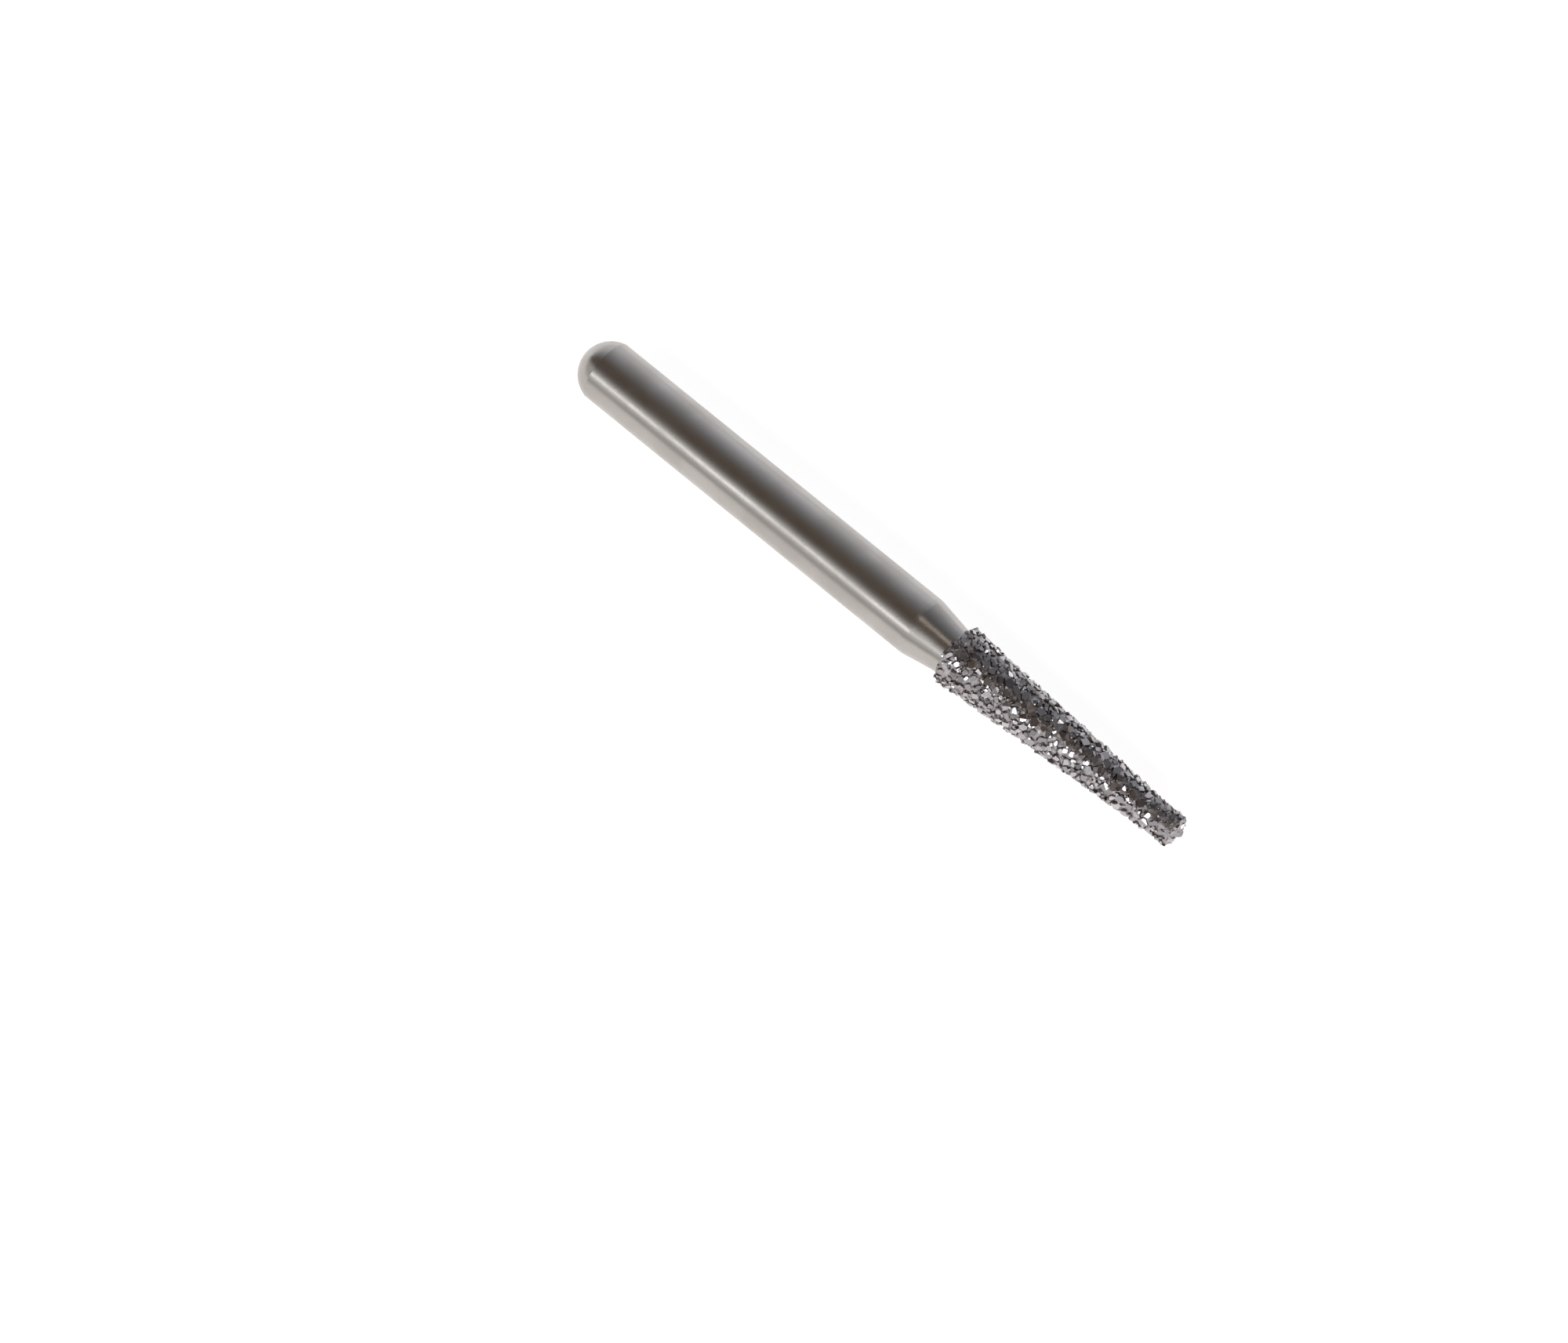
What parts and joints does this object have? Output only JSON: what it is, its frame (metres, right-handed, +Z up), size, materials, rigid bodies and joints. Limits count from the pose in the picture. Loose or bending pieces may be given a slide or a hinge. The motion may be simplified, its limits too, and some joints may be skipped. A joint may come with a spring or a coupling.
{
  "type": "dental bur",
  "caption": "Friction-grip dental bur: plain steel shank with a domed tail, short tapered neck and a long flat-ended tapered head covered in coarse diamond grains.",
  "frame": {"origin": "on the bur's axis, halfway along the straight shank that the chuck grips", "axes": "+X along the bur's axis towards the flat working tip, +Z up; the bur lies on its side"},
  "size_m": [0.0191, 0.0016, 0.0016],
  "materials": {
    "turned_steel": "fine ground and polished stainless steel",
    "nickel_plating": "dark satin electroplated nickel",
    "diamond_grit": "blocky dark diamond crystals with glinting facets"
  },
  "bodies": {
    "root": {"steel_blank": "turned_steel", "nickel_bond": "nickel_plating", "diamond_grains": "diamond_grit"}
  },
  "joints": []
}
